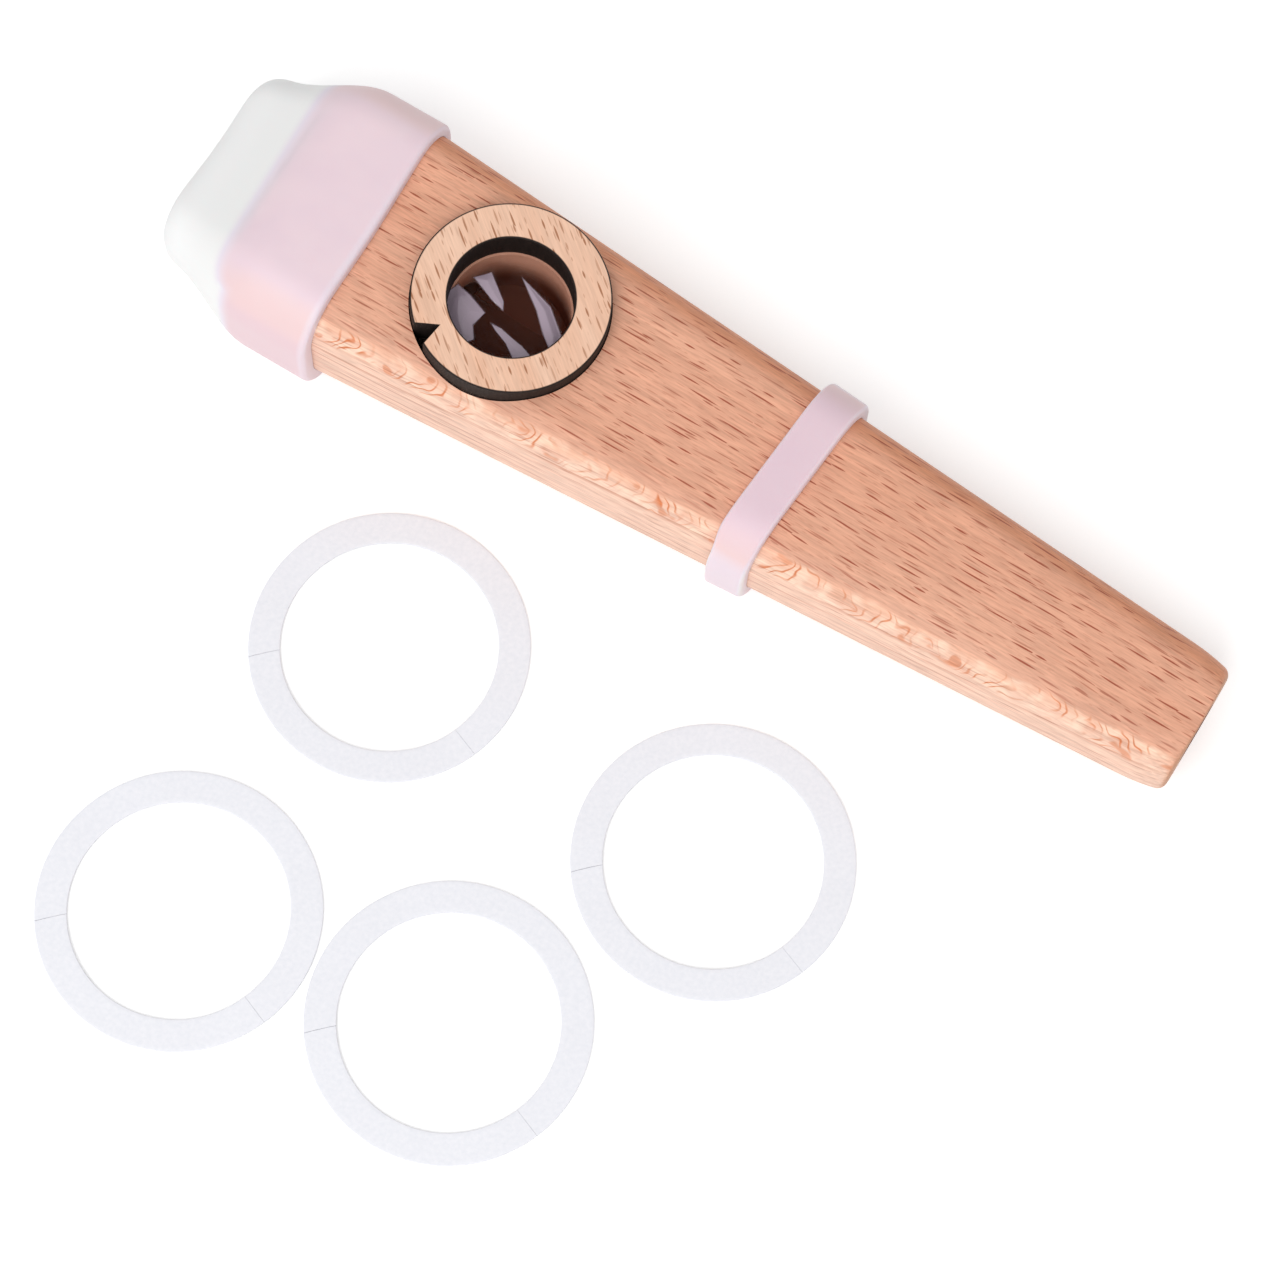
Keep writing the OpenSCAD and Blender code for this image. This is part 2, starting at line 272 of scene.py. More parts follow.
# Broad soft bands and narrower streaks run along the block. The side away from the lamp
# is browner, partly the wood's tone and partly painted shade; the side towards the lamp
# is paler, partly its tone and partly painted highlight.
bands = add(beech, "Mapping", {"Vector": place, "Scale": per_mm(45, 5, 9)})
bands = add(beech, "TexNoise", {"Vector": bands, "Scale": 1, "Detail": 3, "Roughness": 0.55})
tone = add(beech, "MapRange", {0: bands, 1: 0.3, 2: 0.7, 3: 0.3, 4: 0.66})
colour = add(beech, "MixRGB", {0: tone, 1: paint(BEECH_DEEP), 2: paint(BEECH_PALE)})
colour = add(beech, "MixRGB", {0: 1, 1: colour, 2: lamp_side_painted_shade}, blend_type="MULTIPLY")
colour = add(beech, "MixRGB", {0: cut_edge, 1: colour, 2: paint(BEECH_EDGE_HIGHLIGHT)})
colour = add(beech, "MixRGB", {0: lamp_side_pale, 1: colour, 2: paint(BEECH_LAMP_SIDE)})
colour = add(beech, "MixRGB", {0: far_side_shade, 1: colour, 2: paint(BEECH_FAR_SHADE)})
streaks = add(beech, "Mapping", {"Vector": place, "Scale": per_mm(9, 0.6, 0.6)})
streaks = add(beech, "TexNoise", {"Vector": streaks, "Scale": 1, "Detail": 2})
streaks = add(beech, "MapRange", {0: streaks, 1: 0.3, 2: 0.7, 3: 0.92, 4: 1.07})
colour = add(beech, "MixRGB", {0: 1, 1: colour, 2: streaks}, blend_type="MULTIPLY")

# Growth rings are flat layers, bent by slow waves, and each ends in a thin brown
# line. They show on the sides and the ends, here strong and there lost.
waves = add(beech, "Mapping", {"Vector": place, "Scale": per_mm(38, 14, 26)})
waves = add(beech, "TexNoise", {"Vector": waves, "Scale": 1, "Detail": 2})
layer = add(beech, "Math", {0: at.outputs["Z"], 1: 1 / (LAYER_T * MM)}, operation="MULTIPLY")
layer = add(beech, "Math", {0: waves, 1: 2.2, 2: layer}, operation="MULTIPLY_ADD")
layer = add(beech, "Math", {0: layer}, operation="FRACT")
late = add(beech, "MapRange", {0: layer, 1: 0.6, 2: 0.95}, interpolation_type="SMOOTHSTEP")
lost = add(beech, "Mapping", {"Vector": place, "Scale": per_mm(14, 9, 1.6)})
lost = add(beech, "TexNoise", {"Vector": lost, "Scale": 1, "Detail": 1})
lost = add(beech, "MapRange", {0: lost, 1: 0.35, 2: 0.65, 3: 0.05, 4: 0.75})
late = add(beech, "Math", {0: late, 1: lost}, operation="MULTIPLY")
edge_on = add(beech, "Math", {0: sideways, 1: endways}, operation="MAXIMUM")
late = add(beech, "Math", {0: late, 1: edge_on}, operation="MULTIPLY")
colour = add(beech, "MixRGB", {0: late, 1: colour, 2: paint(LATEWOOD)})

# Where the rounded edge on the paler side, towards the lamp, cuts the rings flatly, they
# show as patches of small bows, open to the mouth end, among orange spots and pale spots
# of painted highlight. Along is x in mm, and over is the way across the edge, in mm from
# its middle. The bows are lines of equal along + curve times over squared, bent and
# broken by noise.
over = add(beech, "Math", {0: facing["Z"], 1: facing["Y"]}, operation="SUBTRACT")
over = add(beech, "Math", {0: over, 1: EDGE_R / np.sqrt(2)}, operation="MULTIPLY")
along = add(beech, "Math", {0: at.outputs["X"], 1: 1 / MM}, operation="MULTIPLY")
spot = add(beech, "CombineXYZ", {0: along, 1: over})
wander = add(beech, "Mapping", {"Vector": spot, "Scale": (1 / 2.8, 1 / 2.2, 0)})
wander = add(beech, "TexNoise", {"Vector": wander, "Scale": 1, "Detail": 1})
bow = add(beech, "Math", {0: over, 1: over}, operation="MULTIPLY")
bow = add(beech, "Math", {0: bow, 1: BOW_CURVE, 2: along}, operation="MULTIPLY_ADD")
bow = add(beech, "Math", {0: bow, 1: 1 / BOW_GAP}, operation="MULTIPLY")
bow = add(beech, "Math", {0: wander, 1: 4, 2: bow}, operation="MULTIPLY_ADD")
bow = add(beech, "Math", {0: bow, 1: 0.5}, operation="PINGPONG")
bow = add(beech, "MapRange", {0: bow, 1: 0.28, 2: 0.48}, interpolation_type="SMOOTHSTEP")
patches = add(beech, "Mapping", {"Vector": spot, "Scale": (1 / 5.5, 1 / 3, 0)})
patches = add(beech, "TexNoise", {"Vector": patches, "Scale": 1, "Detail": 2})
patches = add(beech, "MapRange", {0: patches, 1: 0.45, 2: 0.62, 3: 0.06, 4: 1})
bow = add(beech, "Math", {0: bow, 1: patches}, operation="MULTIPLY")
spots = add(beech, "MapRange", {0: wander, 1: 0.38, 2: 0.3, 4: 0.6}, interpolation_type="SMOOTHSTEP")
bow = add(beech, "Math", {0: bow, 1: spots}, operation="MAXIMUM")
middle = add(beech, "Math", {0: over}, operation="ABSOLUTE")
middle = add(beech, "MapRange", {0: middle, 1: FIGURE_END, 2: FIGURE_FULL},
             interpolation_type="SMOOTHSTEP")
middle = add(beech, "Math", {0: middle, 1: cut_edge}, operation="MULTIPLY")
# Pale spots in the edge's figure: painted highlight.
pale = add(beech, "MapRange", {0: wander, 1: 0.46, 2: 0.64, 4: 0.42}, interpolation_type="SMOOTHSTEP")
for share, tint in ((pale, FIGURE_HIGHLIGHT), (bow, FIGURE)):
    share = add(beech, "Math", {0: share, 1: middle}, operation="MULTIPLY")
    colour = add(beech, "MixRGB", {0: share, 1: colour, 2: paint(tint)})

# Fine fibres, drawn at 0.2 mm so that they show.
fibres = add(beech, "Mapping", {"Vector": place, "Scale": per_mm(3.5, 0.2, 0.2)})
fibres = add(beech, "TexNoise", {"Vector": fibres, "Scale": 1, "Detail": 2})
fibre_tone = add(beech, "MapRange", {0: fibres, 1: 0.3, 2: 0.7, 3: 0.86, 4: 1.11})
colour = add(beech, "MixRGB", {0: 1, 1: colour, 2: fibre_tone}, blend_type="MULTIPLY")

# Ray ends, 1 to 4 mm long and about 0.2 mm wide, in drifting rows, with shorter and
# fainter ones among them. They show on the top and the underside. On the sides the same
# rays are only faint dashes.
drift = add(beech, "Mapping", {"Vector": place, "Scale": per_mm(24, 8, 30)})
drift = add(beech, "TexNoise", {"Vector": drift, "Scale": 1, "Detail": 1})
drift = add(beech, "VectorMath", {0: drift.outputs["Color"], 1: (0, 1.5 * MM, 0)}, operation="MULTIPLY")
drift = add(beech, "VectorMath", {0: place, 1: drift}, operation="ADD")
flecks = ray_flecks(beech, drift, spacing=(5, 1.05), longest=4.9, width=0.21, faintest=0.3)
for spacing, longest, width, share in SMALLER_FLECKS:
    smaller = ray_flecks(beech, drift, spacing, longest, width, faintest=0)
    smaller = add(beech, "Math", {0: smaller, 1: share}, operation="MULTIPLY")
    flecks = add(beech, "Math", {0: flecks, 1: smaller}, operation="MAXIMUM")
flecks = add(beech, "Math", {0: flecks, 1: upward}, operation="MULTIPLY")
from_side = add(beech, "Mapping", {"Vector": place, "Rotation": (np.pi / 2, 0, 0)})
dashes = ray_flecks(beech, from_side, spacing=(5, 0.7), longest=5, width=0.14, faintest=0)
dashes = add(beech, "Math", {0: dashes, 1: sideways}, operation="MULTIPLY")
dashes = add(beech, "Math", {0: dashes, 1: 0.45}, operation="MULTIPLY")
flecks = add(beech, "Math", {0: flecks, 1: dashes}, operation="MAXIMUM")
fleck_share = add(beech, "Math", {0: flecks, 1: 0.9}, operation="MULTIPLY")
colour = add(beech, "MixRGB", {0: fleck_share, 1: colour, 2: paint(FLECK)})
end_share = add(beech, "Math", {0: endways, 1: 0.7}, operation="MULTIPLY")
colour = add(beech, "MixRGB", {0: end_share, 1: colour, 2: paint(BEECH_END)})

# The flecks and the open fibres lie a few hundredths of a mm deep under the oil.
dents = add(beech, "Math", {0: flecks, 1: -0.6, 2: fibres}, operation="MULTIPLY_ADD")
dents = add(beech, "Bump", {"Height": dents, "Strength": 0.35, "Distance": 0.03 * MM})
dress(beech, Base_Color=colour, Normal=dents)

# The drilled walls are the same beech, raw and rougher. Their colour is painted light and
# shade: bright near the top, where the lamp reaches in, and dark brown deeper down. The
# seat for the cap ring was burnt in, so it is black.
WALL_SHADE, WALL_SHADE_STREAK = "#7d3f2b", "#602c1e"
WALL_LIT, WALL_LIT_STREAK, SEAT_BLACK = "#ffc2a6", "#f0a98d", "#1a1210"
WALL_LOW_Z, WALL_HIGH_Z = 7, 12.5
BURNT_R, BURNT_Z = (7.2, 8), (13, 13.15)   # mm out and mm up over which the seat turns black

drilled = finish("drilled_beech", Roughness=0.8, Specular_IOR_Level=0.2)
place = add(drilled, "TexCoord", {}).outputs["Object"]
score = add(drilled, "Mapping", {"Vector": place, "Scale": per_mm(4, 0.5, 0.5)})
score = add(drilled, "TexNoise", {"Vector": score, "Scale": 1, "Detail": 4})
height_of = add(drilled, "SeparateXYZ", {0: place}).outputs["Z"]
# Painted shade low in the bores and chamber, painted light near the top.
lit_share = add(drilled, "MapRange", {0: height_of, 1: WALL_LOW_Z * MM, 2: WALL_HIGH_Z * MM},
             interpolation_type="SMOOTHSTEP")
walls = add(drilled, "MixRGB", {0: lit_share, 1: paint(WALL_SHADE), 2: paint(WALL_LIT)})
streak = add(drilled, "MixRGB", {0: lit_share, 1: paint(WALL_SHADE_STREAK), 2: paint(WALL_LIT_STREAK)})
walls = add(drilled, "MixRGB", {0: score, 1: streak, 2: walls})
outward = add(drilled, "Mapping", {"Vector": place, "Location": ((ORIGIN_X - RING_X) * MM, 0, 0)})
outward = add(drilled, "VectorMath", {0: outward, 1: (1, 1, 0)}, operation="MULTIPLY")
outward = add(drilled, "VectorMath", {0: outward}, operation="LENGTH").outputs["Value"]
outward = add(drilled, "MapRange", {0: outward, 1: BURNT_R[0] * MM, 2: BURNT_R[1] * MM})
in_seat = add(drilled, "MapRange", {0: height_of, 1: BURNT_Z[0] * MM, 2: BURNT_Z[1] * MM})
in_seat = add(drilled, "Math", {0: in_seat, 1: outward}, operation="MULTIPLY")
walls = add(drilled, "MixRGB", {0: in_seat, 1: walls, 2: paint(SEAT_BLACK)})
dress(drilled, Base_Color=walls)

slope = np.arctan((MOUTH_H - EXIT_H) / BODY_LEN)
top_along = np.array([np.cos(slope), 0, -np.sin(slope)])
top_across = np.array([0, 1, 0])
top_up = np.array([np.sin(slope), 0, np.cos(slope)])
ring_centre = np.array([RING_X, 0, WOOD_Z + wood_height(RING_X)])

# The block's sections stand closer together where its ends are rounded. A hub at each
# end closes it within the bore.
rounding = 1 - np.cos(np.radians(np.linspace(0, 90, 15)))
x = np.concatenate([CORNER_R * rounding, np.linspace(CORNER_R, COVER_LEN, 6)[1:],
                    np.linspace(COVER_LEN, BODY_LEN - EXIT_BEND, 40)[1:],
                    np.linspace(BODY_LEN - EXIT_BEND, BODY_LEN - EXIT_CORNER_R, 12)[1:],
                    BODY_LEN - EXIT_CORNER_R * rounding[-2::-1]])
to_exit = BODY_LEN - x
bend_in = EXIT_DROP * np.clip(1 - to_exit / EXIT_BEND, 0, 1) ** 2 + drawn_in(EXIT_CORNER_R, to_exit)
half_w = wood_width(x) / 2 - drawn_in(CORNER_R, x) - bend_in
ends_in = drawn_in(END_R, x) + drawn_in(EXIT_END_R, to_exit)
low = WOOD_Z + ends_in
high = WOOD_Z + wood_height(x) - ends_in
hub_z = np.array([MOUTH_BORE_Z, BORE_Z])
hubs = round_box(HUB_R, hub_z - HUB_R, hub_z + HUB_R, HUB_EDGE_R)
edge_r = np.minimum(EDGE_R, (high - low) / 2 - LEAST_FLAT)
sections = np.concatenate([hubs[:1], round_box(half_w, low, high, edge_r), hubs[1:]])
body = surface("beech_body", along_x([0, *x, BODY_LEN], sections))
body.data.materials.append(beech)
chamber_depth = ring_centre[2] - CHAMBER_FLOOR_Z
cutters = [
    turned("bore", (0, 0, BORE_Z), (1, 0, 0),
           (MOUTH_BORE_LEN - CUT_OVER, BODY_LEN - BORE_CHAMFER, BODY_LEN + CUT_OVER),
           (BORE_R, BORE_R, BORE_R + BORE_CHAMFER + CUT_OVER)),
    turned("mouth_bore", (0, 0, MOUTH_BORE_Z), (1, 0, 0), (-CUT_OVER, MOUTH_BORE_LEN),
           (MOUTH_BORE_R, MOUTH_BORE_R)),
    turned("seat", ring_centre, top_up, (-SEAT_DEPTH, 2 * CUT_OVER), (SEAT_R, SEAT_R), 192),
    turned("chamber", ring_centre, top_up, (-chamber_depth, -SEAT_DEPTH + CUT_OVER),
           (CHAMBER_R, CHAMBER_R))]
for cutter in cutters:
    cutter.data.materials.append(drilled)
carve(body, cutters)
smooth(body)
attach(body, "kazoo_body")
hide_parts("body")


# Membrane
# Clear polyester film, laid over the chamber and pressed down by the cap ring,
# which turns its rim up. It is crinkled: its flat facets carry a painted reflection,
# the rest is clear over a faint painted shade.

FILM_T, FILM_RIM, FILM_R, FILM_FIT = 0.06, 1.8, 11.06, 0.03
HOLE_R, BEND_R = 6.95, 0.4
BEND_LEAD, POLE_R = 0.1, 0.03   # the flat before the bend, and the flat in the middle
FILM_Z = FILM_FIT / 2 - SEAT_DEPTH + FILM_T / 2
HELD_W = 1.2                    # mm in from the hole, over which the ring stills the crinkles
FACET_BLUR = 0.16               # mm over which a facet's shine fades at its edge
FACET_SLOPE, FACET_RUN = 0.3, 1.2   # how steeply a facet rises from its edge, and how far in
# The lavender is a painted reflection on the shining facets; the dark brown is painted shade of the
# chamber, seen through the rest.
FILM_CLEAR_SHADE, FILM_PAINTED_SHINE = "#3a1a0c", "#b3a1b0"
FACETS = [                      # the shining facets' corners, mm from the ring's centre
    [(-7.1, -2.0), (-6.5, -0.33), (-4.7, -0.7), (-2.2, -1.6), (-2.6, -3.5), (-1.6, -4.9),
     (-3.0, -7.1), (-6.2, -5.0)],
    [(-5.5, 1.3), (-4.1, 2.8), (-1.2, 0.6), (-0.7, -0.3), (-2.5, 0.1)],
    [(-1.0, 4.1), (0.9, 3.6), (3.5, 2.8), (6.2, 0.6), (7.3, -2.6), (4.4, -0.3), (2.3, 1.7)],
    [(-1.1, -2.3), (0.1, -2.2), (3.2, -2.7), (5.2, -3.4), (3.9, -5.1), (1.5, -3.4), (-0.2, -2.8)]]


def inside(corners, px, py):
    """How far each point lies inside a polygon, in mm: less than zero outside. It is the
    least distance to the edges, signed by how many edges a line to +x crosses."""
    ax, ay = np.array(corners, float).T[:, :, None]
    bx, by = np.roll(ax, -1, axis=0), np.roll(ay, -1, axis=0)
    share = np.clip(((px - ax) * (bx - ax) + (py - ay) * (by - ay))
                    / ((bx - ax) ** 2 + (by - ay) ** 2), 0, 1)
    far = np.hypot(px - ax - share * (bx - ax), py - ay - share * (by - ay)).min(axis=0)
    spans = (ay > py) != (by > py)
    with np.errstate(divide="ignore", invalid="ignore"):
        crossed = spans & (px < ax + (py - ay) / (by - ay) * (bx - ax))
    return np.where(crossed.sum(axis=0) % 2 == 1, far, -far)


def on_top(points):
    """Takes points from the cap ring's own frame, square to the sloping top."""
    return (ring_centre + points[..., :1] * top_along + points[..., 1:2] * top_across
            + points[..., 2:] * top_up)


# Circles of points run from the middle out, round the bend and up the rim.
turn = np.linspace(0, 2 * np.pi, 240, endpoint=False)
flat_r = np.concatenate([np.linspace(POLE_R, HOLE_R, 80),
                         np.linspace(HOLE_R, FILM_R - BEND_R - BEND_LEAD, 6)[1:]])
bend = np.radians(np.linspace(0, 90, 7))[1:]
middle_r = FILM_R - FILM_T / 2
film_r = np.concatenate([flat_r, middle_r - BEND_R * (1 - np.sin(bend)), np.full(3, middle_r)])
film_z = np.concatenate([np.zeros(len(flat_r)), BEND_R * (1 - np.cos(bend)),
                         np.linspace(BEND_R, FILM_RIM - FILM_T / 2, 4)[1:]])
tilt = np.concatenate([np.zeros(len(flat_r)), bend, np.full(3, np.pi / 2)])[:, None]
px = film_r[:, None] * np.cos(turn)
py = film_r[:, None] * np.sin(turn)
depths = np.array([inside(corners, px.ravel(), py.ravel()).reshape(px.shape) for corners in FACETS])
depths = depths.max(axis=0)
painted_gleam = np.clip(0.5 + depths / FACET_BLUR, 0, 1)
free = np.clip((HOLE_R - film_r[:, None]) / HELD_W, 0, 1)

# Between the facets, three trains of waves cross each other. The last has sharp creases.
ridges = (0.1 * np.sin(0.9 * px + 1.7 * py + 0.6) + 0.06 * np.sin(1.4 * px - 0.8 * py)
          + 0.14 * np.abs(np.sin(0.45 * px + 0.75 * py + 0.4)))
crinkle = free * (ridges * (1 - painted_gleam) + FACET_SLOPE * np.clip(depths, 0, FACET_RUN))
skins = []
for side in (1, -1):
    share = 1 - side * FILM_T / 2 * np.sin(tilt) / film_r[:, None]
    level = FILM_Z + film_z[:, None] + crinkle + side * FILM_T / 2 * np.cos(tilt)
    skins.append(np.stack([px * share, py * share, level], axis=-1))
membrane = surface("clear_membrane", on_top(np.concatenate([skins[0], skins[1][::-1]])))
painted_shine = membrane.data.attributes.new("painted_gleam", "FLOAT", "POINT")
painted_shine.data.foreach_set("value", np.concatenate([painted_gleam, painted_gleam[::-1]]).ravel())

# Polyester film: clear and glossy, with a faint dark brown of painted shade, and
# lavender of painted reflection where a facet shines.
film = finish("clear_polyester_film", Roughness=0.08, IOR=1.45)
facet = add(film, "Attribute", {}, attribute_name="painted_gleam")
tint = add(film, "MixRGB", {0: facet.outputs["Fac"], 1: paint(FILM_CLEAR_SHADE), 2: paint(FILM_PAINTED_SHINE)})
solid = add(film, "MapRange", {0: facet.outputs["Fac"], 3: 0.1, 4: 0.95})
dress(film, Base_Color=tint, Alpha=solid)
membrane.data.materials.append(film)
smooth(membrane)
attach(membrane, "membrane")
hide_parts("membrane")


# Cap ring
# A ring laser-cut from thin beech sheet, pressed into the seat over the film. Its
# cut walls are charred black. A knife goes into the V notch to pry it out.

RING_R, RING_T = 11, 4.3
RING_LOW = FILM_T + FILM_FIT - SEAT_DEPTH
NOTCH_DEPTH, NOTCH_W, NOTCH_TURN = 2.5, 2.6, -125
BURN, SINGED = 0.09, 0.4        # the burnt corner, and how far the faces are browned
WALL_ROW, OUTER_ROW = 1, 2      # the walls' own rows lie so far from the bottom and the top
GRAIN_TURN = -38.6              # degrees from the block's grain to the ring's
RING_PALE, RING_DEEP, RING_FLECK = "#f3cbb1", "#ebbb9e", "#9f6440"
SOOT, SOOT_PALE = "#0f0b09", "#2e231f"

# The outline is a circle with a V notch, whose sides are straight lines in polar form.
apex = RING_R - NOTCH_DEPTH
rim_turn = np.arctan2(NOTCH_W / 2, np.sqrt(RING_R ** 2 - NOTCH_W ** 2 / 4))
off_notch = np.concatenate([np.linspace(-rim_turn, rim_turn, 25),
                            np.linspace(rim_turn, 2 * np.pi - rim_turn, 301)[1:-1]])
lean = (RING_R * np.cos(rim_turn) - apex) / (NOTCH_W / 2)
notched = apex / (np.cos(off_notch) - lean * np.abs(np.sin(off_notch)))
outer = np.where(off_notch <= rim_turn, np.minimum(notched, RING_R), RING_R)
turn = off_notch + np.radians(NOTCH_TURN)
top, bottom = RING_LOW + RING_T, RING_LOW

# The section's sixteen points run up the hole, out over the top, down the outside and
# back underneath. A share of 0 is at the hole and 1 at the outline. Steps and levels
# are in mm.
shares = np.array([[0, 0, 0, 0, 0, 0.33, 0.67, 1, 1, 1, 1, 1, 1, 1, 0.5, 0]]).T
steps = np.array([[0, 0, 0, BURN, SINGED, 0, 0, -SINGED, -BURN, 0, 0, 0, 0, -BURN, 0, BURN]]).T
level = np.array([bottom + BURN, bottom + WALL_ROW, top - BURN, top, top, top, top, top, top,
                  top - BURN, top - OUTER_ROW, bottom + WALL_ROW, bottom + BURN,
                  bottom, bottom, bottom])[:, None]
radius = HOLE_R + (outer - HOLE_R) * shares + steps
rows = np.stack([radius * np.cos(turn), radius * np.sin(turn), level + 0 * radius], axis=-1)
cap_ring = surface("cap_ring_wood", on_top(rows), joined=True)
burn = cap_ring.data.attributes.new("burn", "FLOAT", "POINT")
burnt = np.array([1, 1, 1, 1, 0, 0, 0, 0, 1, 1, 1, 1, 1, 1, 0, 1.0])[:, None] + 0 * radius
burn.data.foreach_set("value", burnt.ravel())

# Pale unfinished beech on the faces; brown, then sooty black towards the cuts.
ring_wood = finish("raw_beech_sheet", Roughness=0.65, Specular_IOR_Level=0.2)
place = add(ring_wood, "TexCoord", {})
local = (ring_centre - (ORIGIN_X, 0, 0)) * MM
grain_way = (0, slope, np.radians(GRAIN_TURN))
place = add(ring_wood, "Mapping", {"Vector": place.outputs["Object"], "Location": local,
                                   "Rotation": grain_way}, vector_type="TEXTURE")
bands = add(ring_wood, "Mapping", {"Vector": place, "Scale": per_mm(30, 3, 30)})
bands = add(ring_wood, "TexNoise", {"Vector": bands, "Scale": 1, "Detail": 3})
bands = add(ring_wood, "MapRange", {0: bands, 1: 0.3, 2: 0.7})
colour = add(ring_wood, "MixRGB", {0: bands, 1: paint(RING_PALE), 2: paint(RING_DEEP)})
fibres = add(ring_wood, "Mapping", {"Vector": place, "Scale": per_mm(4, 0.22, 0.22)})
fibres = add(ring_wood, "TexNoise", {"Vector": fibres, "Scale": 1, "Detail": 2})
fibre_tone = add(ring_wood, "MapRange", {0: fibres, 1: 0.3, 2: 0.7, 3: 0.88, 4: 1.06})
colour = add(ring_wood, "MixRGB", {0: 1, 1: colour, 2: fibre_tone}, blend_type="MULTIPLY")
flecks = ray_flecks(ring_wood, place, spacing=(3.8, 1.25), longest=3.4, width=0.25, faintest=0.35)
small_flecks = ray_flecks(ring_wood, place, spacing=(2.2, 0.8), longest=1.8, width=0.17, faintest=0)
small_flecks = add(ring_wood, "Math", {0: small_flecks, 1: 0.5}, operation="MULTIPLY")
flecks = add(ring_wood, "Math", {0: flecks, 1: small_flecks}, operation="MAXIMUM")
flecks = add(ring_wood, "Math", {0: flecks, 1: 0.85}, operation="MULTIPLY")
colour = add(ring_wood, "MixRGB", {0: flecks, 1: colour, 2: paint(RING_FLECK)})
near_cut = add(ring_wood, "Attribute", {}, attribute_name="burn")
soot = add(ring_wood, "MapRange", {0: near_cut.outputs["Fac"], 1: 0.55, 2: 0.95},
           interpolation_type="SMOOTHSTEP")
streaks = add(ring_wood, "Mapping", {"Vector": place, "Scale": per_mm(0.35, 0.35, 2.5)})
streaks = add(ring_wood, "TexNoise", {"Vector": streaks, "Scale": 1, "Detail": 3})
char = add(ring_wood, "MixRGB", {0: streaks, 1: paint(SOOT), 2: paint(SOOT_PALE)})
colour = add(ring_wood, "MixRGB", {0: soot, 1: colour, 2: char})
relief = add(ring_wood, "Math", {0: streaks, 1: soot}, operation="MULTIPLY")
relief = add(ring_wood, "Math", {0: relief, 1: 3, 2: fibres}, operation="MULTIPLY_ADD")
relief = add(ring_wood, "Bump", {"Height": relief, "Strength": 0.4, "Distance": 0.05 * MM})
dress(ring_wood, Base_Color=colour, Normal=relief)
cap_ring.data.materials.append(ring_wood)
smooth(cap_ring, 30)
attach(cap_ring, "cap_ring")
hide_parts("cap_ring")


# Mouthpiece
# Moulded translucent silicone, pulled over the wide end. Its sleeve draws in by a
# smooth shoulder to a lip, which a slot to hum into runs through. It looks pink
# where beech lies close under it, and white in the lip, with only air beneath.

SLEEVE_WALL, SLEEVE_FIT = 1.45, 0.05
LIP_LEN, LIP_W, LIP_H, LIP_EDGE_R, TIP_R, RIM_R = 8.9, 24.4, 10.8, 4.6, 2.8, 0.6
SLOT_W, SLOT_H, SLOT_Z, LIP_Z = 13, 5, 8.3, 8.6
SLOT_EDGE, SLOT_FLAT, TIP_FLAT = 0.45, 0.05, 0.1   # the slot's round edge, and the flats by it
SHOULDER_FROM, SHOULDER_TO = -7.3, 5
PULLED_ASKEW = np.tan(np.radians(3))   # the slant of the wood's end as it shows through
RIM_ASKEW = 0.65                # mm by which the rim falls short on the far side
ASKEW_X, ASKEW_Y = (3, COVER_LEN), (-4, 14)   # where that sets in
PULLED_ASIDE = 0.25             # mm by which its skin lies to the near side of the wood
COVERED, COVERED_X = 0.8, (-1.6, 0.9)   # how much the wood shows, and where it begins to
CORNER_SEEN = 0.6               # the share of the wood's round corners that shows through
PALE_RIM, PALE_RIM_X = 0.3, (COVER_LEN - 1.0, COVER_LEN - 0.5)   # it shows less at the rim
ARC, SIDE = 14, 10              # steps round each corner, and along each side
MILKY_TIP, MILKY, LAVENDER = "#ededed", "#efefee", "#e8dfe9"
PINK, PINK_CLOUD, PINK_SIDE_SHADE = "#e9d3dc", "#edd7de", "#e4c9cf"
PINK_SHOULDER_HIGHLIGHT, PINK_BAND = "#eccfcc", "#e0c3cf"


def eased(value, low, high):
    """0 below low, 1 above high, and a smooth S between."""
    t = np.clip((value - low) / (high - low), 0, 1)
    return t * t * (3 - 2 * t)


def skin_sections(x, inset):
    """The outer skin's sections: the lip's below the shoulder, the block's above it."""
    t = eased(x, SHOULDER_FROM, SHOULDER_TO)
    block_w, block_h = wood_width(0) + 2 * WOOD_Z, wood_height(0) + 2 * WOOD_Z
    half_h = (LIP_H + (block_h - LIP_H) * t) / 2 - inset
    middle = LIP_Z + (block_h / 2 - LIP_Z) * t
    radius = LIP_EDGE_R + (EDGE_R + WOOD_Z - LIP_EDGE_R) * t - inset
    half_w = (LIP_W + (block_w - LIP_W) * t) / 2 - inset
    return round_box(half_w, middle - half_h, middle + half_h, radius, ARC, SIDE) - (PULLED_ASIDE, 0)


def slot_sections(x):
    """The slot's section, a stadium, at each x."""
    return round_box(np.full(len(x), SLOT_W / 2), SLOT_Z - SLOT_H / 2, SLOT_Z + SLOT_H / 2,
                     SLOT_H / 2 - SLOT_FLAT, ARC, SIDE)


def pocket_sections(x):
    """The wood's own section, grown by the clearance round it."""
    inset_y = drawn_in(CORNER_R, x + SLEEVE_FIT) - SLEEVE_FIT
    inset_z = drawn_in(END_R, x + SLEEVE_FIT) - SLEEVE_FIT
    return round_box(wood_width(x) / 2 - inset_y, WOOD_Z + inset_z,
                     WOOD_Z + wood_height(x) - inset_z, EDGE_R + SLEEVE_FIT, ARC, SIDE)


